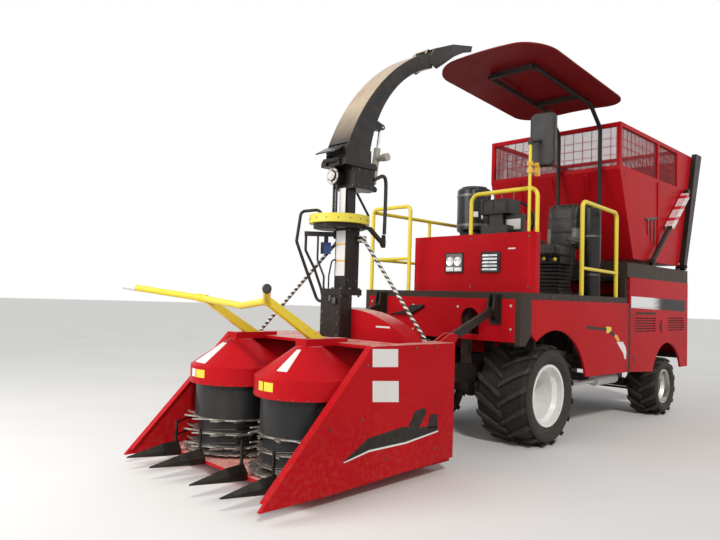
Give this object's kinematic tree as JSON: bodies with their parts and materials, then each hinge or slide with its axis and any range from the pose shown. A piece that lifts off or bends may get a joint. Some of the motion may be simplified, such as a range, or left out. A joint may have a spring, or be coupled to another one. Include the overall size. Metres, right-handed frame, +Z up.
{
  "type": "forage harvester",
  "caption": "Self-propelled forage harvester with a rotary maize header, slewing spout, open platform under a canopy and rear-tipping hopper.",
  "frame": {"origin": "on the ground under the middle of the bounding box", "axes": "+X forward, +Y to the machine's left, +Z up"},
  "size_m": [7.935, 2.0628, 4.132],
  "materials": {
    "red_paint": "gloss",
    "black_paint": "satin",
    "yellow_paint": "gloss",
    "white_paint": "gloss",
    "grey_metal": "satin",
    "tyre_rubber": "matt",
    "lamp_glass": "clear",
    "black_plastic": "matt",
    "chrome_rod": "polished",
    "exhaust_steel": "brushed"
  },
  "bodies": {
    "chassis": {"chassis_frame": "black_paint", "body_posts": "black_paint", "front_axle": "black_paint", "rear_axle": "black_paint", "engine": "grey_metal", "muffler": "exhaust_steel", "platform": "black_paint", "front_panel": "red_paint", "bulkhead": "red_paint", "head_lamps": "lamp_glass", "side_panels": "red_paint", "rear_panel": "red_paint", "hopper_support": "black_paint", "handrails": "yellow_paint", "side_rails": "yellow_paint", "mirror": "black_plastic", "canopy": "red_paint", "canopy_frame": "black_paint", "seat": "black_plastic", "console": "black_plastic", "air_cleaner": "black_plastic", "oil_tank": "black_paint"},
    "front_wheel_left": {"front_tyre_left": "tyre_rubber", "front_rim_left": "white_paint"},
    "front_wheel_right": {"front_tyre_right": "tyre_rubber", "front_rim_right": "white_paint"},
    "rear_wheel_left": {"rear_tyre_left": "tyre_rubber", "rear_rim_left": "white_paint"},
    "rear_wheel_right": {"rear_tyre_right": "tyre_rubber", "rear_rim_right": "white_paint"},
    "knuckle_left": {"knuckle_left": "black_paint"},
    "knuckle_right": {"knuckle_right": "black_paint"},
    "tie_rod": {"tie_rod": "black_paint"},
    "lift_arms": {"lift_arms": "black_paint"},
    "upper_links": {"upper_links": "black_paint"},
    "lift_barrels": {"lift_barrels": "black_paint"},
    "lift_rods": {"lift_rods": "chrome_rod"},
    "header": {"header_frame": "red_paint", "header_side_panels": "red_paint", "drum_hoods": "red_paint", "divider_points": "black_paint", "push_bar": "yellow_paint", "chopper_housing": "red_paint", "spout_column": "black_paint", "slew_ring": "yellow_paint", "column_stays": "black_paint", "column_hoses": "black_plastic"},
    "drum_left": {"drum_left": "black_paint"},
    "drum_right": {"drum_right": "black_paint"},
    "turret": {"turret": "black_paint"},
    "spout": {"spout_duct": "black_paint"},
    "spout_flap": {"spout_flap": "black_paint"},
    "spout_barrel": {"spout_barrel": "white_paint"},
    "spout_rod": {"spout_rod": "chrome_rod"},
    "hopper": {"hopper": "red_paint", "hopper_posts": "black_paint", "hopper_screen": "red_paint"},
    "hopper_gate": {"hopper_gate": "red_paint"},
    "tilt_barrels": {"tilt_barrels": "red_paint"},
    "tilt_rods": {"tilt_rods": "black_paint"}
  },
  "joints": [
    {"name": "front_wheel_left_spin", "type": "hinge", "parent": "chassis", "child": "front_wheel_left", "pos_m": [0.388, 0.67, 0.499], "axis": [0, 1, 0], "continuous": true},
    {"name": "front_wheel_right_spin", "type": "hinge", "parent": "chassis", "child": "front_wheel_right", "pos_m": [0.388, -0.67, 0.499], "axis": [0, 1, 0], "continuous": true},
    {"name": "steer_left", "type": "hinge", "parent": "chassis", "child": "knuckle_left", "pos_m": [-2.592, 0.52, 0.375], "axis": [0, 0, 1], "range_deg": [-28, 28]},
    {"name": "rear_wheel_left_spin", "type": "hinge", "parent": "knuckle_left", "child": "rear_wheel_left", "pos_m": [-2.592, 0.79, 0.375], "axis": [0, 1, 0], "continuous": true},
    {"name": "steer_right", "type": "hinge", "parent": "chassis", "child": "knuckle_right", "pos_m": [-2.592, -0.52, 0.375], "axis": [0, 0, 1], "range_deg": [-28, 28]},
    {"name": "rear_wheel_right_spin", "type": "hinge", "parent": "knuckle_right", "child": "rear_wheel_right", "pos_m": [-2.592, -0.79, 0.375], "axis": [0, 1, 0], "continuous": true},
    {"name": "tie_rod_slide", "type": "slide", "parent": "chassis", "child": "tie_rod", "axis": [0, 1, 0], "range_m": [-0.09, 0.09]},
    {"name": "lift", "type": "hinge", "parent": "chassis", "child": "lift_arms", "pos_m": [1.138, 0, 0.7], "axis": [0, -1, 0], "range_deg": [0, 46]},
    {"name": "header_level", "type": "hinge", "parent": "lift_arms", "child": "header", "pos_m": [1.768, 0, 0.46], "axis": [0, -1, 0], "range_deg": [-46, 0]},
    {"name": "upper_link_swing", "type": "hinge", "parent": "chassis", "child": "upper_links", "pos_m": [1.108, 0, 1.33], "axis": [0, -1, 0], "range_deg": [0, 46]},
    {"name": "lift_barrel_swing", "type": "hinge", "parent": "chassis", "child": "lift_barrels", "pos_m": [1.048, 0, 0.36], "axis": [0, -1, 0], "range_deg": [0, 26.9]},
    {"name": "lift_rod_slide", "type": "slide", "parent": "lift_barrels", "child": "lift_rods", "axis": [0.9567, 0, 0.2912], "range_m": [0, 0.2054]},
    {"name": "drum_left_spin", "type": "hinge", "parent": "header", "child": "drum_left", "pos_m": [3.103, 0.45, 0.43], "axis": [0, 0, 1], "continuous": true},
    {"name": "drum_right_spin", "type": "hinge", "parent": "header", "child": "drum_right", "pos_m": [3.103, -0.45, 0.43], "axis": [0, 0, 1], "continuous": true},
    {"name": "turret_slew", "type": "hinge", "parent": "header", "child": "turret", "pos_m": [2.318, 0, 2.1], "axis": [0, 0, 1], "range_deg": [-95, 95]},
    {"name": "spout_raise", "type": "hinge", "parent": "turret", "child": "spout", "pos_m": [2.538, 0, 2.604], "axis": [0, 1, 0], "range_deg": [0, 20]},
    {"name": "spout_barrel_swing", "type": "hinge", "parent": "turret", "child": "spout_barrel", "pos_m": [2.025, 0, 2.411], "axis": [0, 1, 0], "range_deg": [0, 14.9]},
    {"name": "spout_rod_slide", "type": "slide", "parent": "spout_barrel", "child": "spout_rod", "axis": [-0.1375, 0, 0.9905], "range_m": [0, 0.1811]},
    {"name": "flap_raise", "type": "hinge", "parent": "spout", "child": "spout_flap", "pos_m": [1.36, 0, 3.902], "axis": [0, 1, 0], "range_deg": [0, 25]},
    {"name": "hopper_tip", "type": "hinge", "parent": "chassis", "child": "hopper", "pos_m": [-3.327, 0, 1.985], "axis": [0, -1, 0], "range_deg": [0, 50]},
    {"name": "gate_swing", "type": "hinge", "parent": "hopper", "child": "hopper_gate", "pos_m": [-3.804, 0, 3.56], "axis": [0, 1, 0], "range_deg": [0, 60]},
    {"name": "tilt_barrel_swing", "type": "hinge", "parent": "chassis", "child": "tilt_barrels", "pos_m": [-2.136, 0, 1.979], "axis": [0, -1, 0], "range_deg": [0, 23.1]},
    {"name": "tilt_rod_slide", "type": "slide", "parent": "tilt_barrels", "child": "tilt_rods", "axis": [-0.7624, 0, 0.6471], "range_m": [0, 0.5255]}
  ],
  "couplings": [
    {"joint": "steer_right", "follows": "steer_left", "ratio": 1},
    {"joint": "tie_rod_slide", "follows": "steer_left", "m_per_rad": -0.1729},
    {"joint": "header_level", "follows": "lift", "ratio": -1},
    {"joint": "upper_link_swing", "follows": "lift", "ratio": 1},
    {"joint": "lift_barrel_swing", "follows": "lift", "ratio": 0.5833},
    {"joint": "lift_rod_slide", "follows": "lift", "m_per_rad": 0.2551},
    {"joint": "drum_right_spin", "follows": "drum_left_spin", "ratio": -1},
    {"joint": "spout_barrel_swing", "follows": "spout_raise", "ratio": 0.7398},
    {"joint": "spout_rod_slide", "follows": "spout_raise", "m_per_rad": 0.5173},
    {"joint": "tilt_barrel_swing", "follows": "hopper_tip", "ratio": 0.4605},
    {"joint": "tilt_rod_slide", "follows": "hopper_tip", "m_per_rad": 0.6015}
  ]
}
